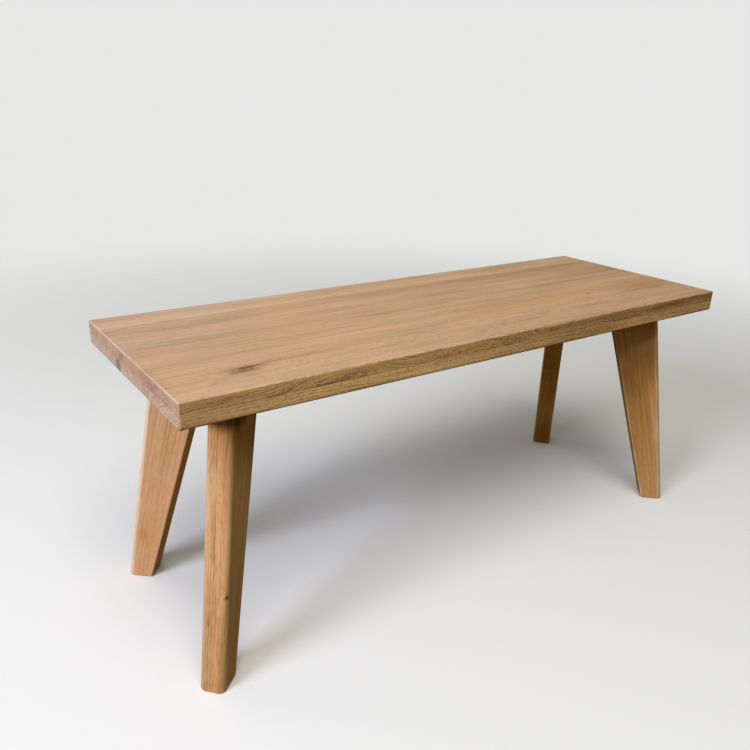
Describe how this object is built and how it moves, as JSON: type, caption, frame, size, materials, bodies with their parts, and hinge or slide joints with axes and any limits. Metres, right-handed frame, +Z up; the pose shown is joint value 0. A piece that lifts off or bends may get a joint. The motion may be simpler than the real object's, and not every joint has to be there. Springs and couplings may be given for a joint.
{
  "type": "dining bench",
  "caption": "Backless solid oak bench: a thick rectangular seat of two glued board layers on four tapered plank legs that splay out along the seat's diagonals.",
  "frame": {"origin": "on the floor, under the middle of the seat", "axes": "+X along the bench, -Y towards its front, +Z up"},
  "size_m": [1.07, 0.375, 0.45],
  "materials": {
    "seat_oak": "matt oil",
    "leg_oak": "matt oil",
    "tenon_beech": "bare wood"
  },
  "bodies": {
    "root": {"upper_board_1": "seat_oak", "upper_board_2": "seat_oak", "upper_board_3": "seat_oak", "upper_board_4": "seat_oak", "lower_board_1": "seat_oak", "lower_board_2": "seat_oak", "lower_board_3": "seat_oak", "lower_board_4": "seat_oak", "leg_front_left": "leg_oak", "leg_front_right": "leg_oak", "leg_back_left": "leg_oak", "leg_back_right": "leg_oak", "tenon_front_left_1": "tenon_beech", "tenon_front_left_2": "tenon_beech", "tenon_front_right_1": "tenon_beech", "tenon_front_right_2": "tenon_beech", "tenon_back_left_1": "tenon_beech", "tenon_back_left_2": "tenon_beech", "tenon_back_right_1": "tenon_beech", "tenon_back_right_2": "tenon_beech"}
  },
  "joints": []
}
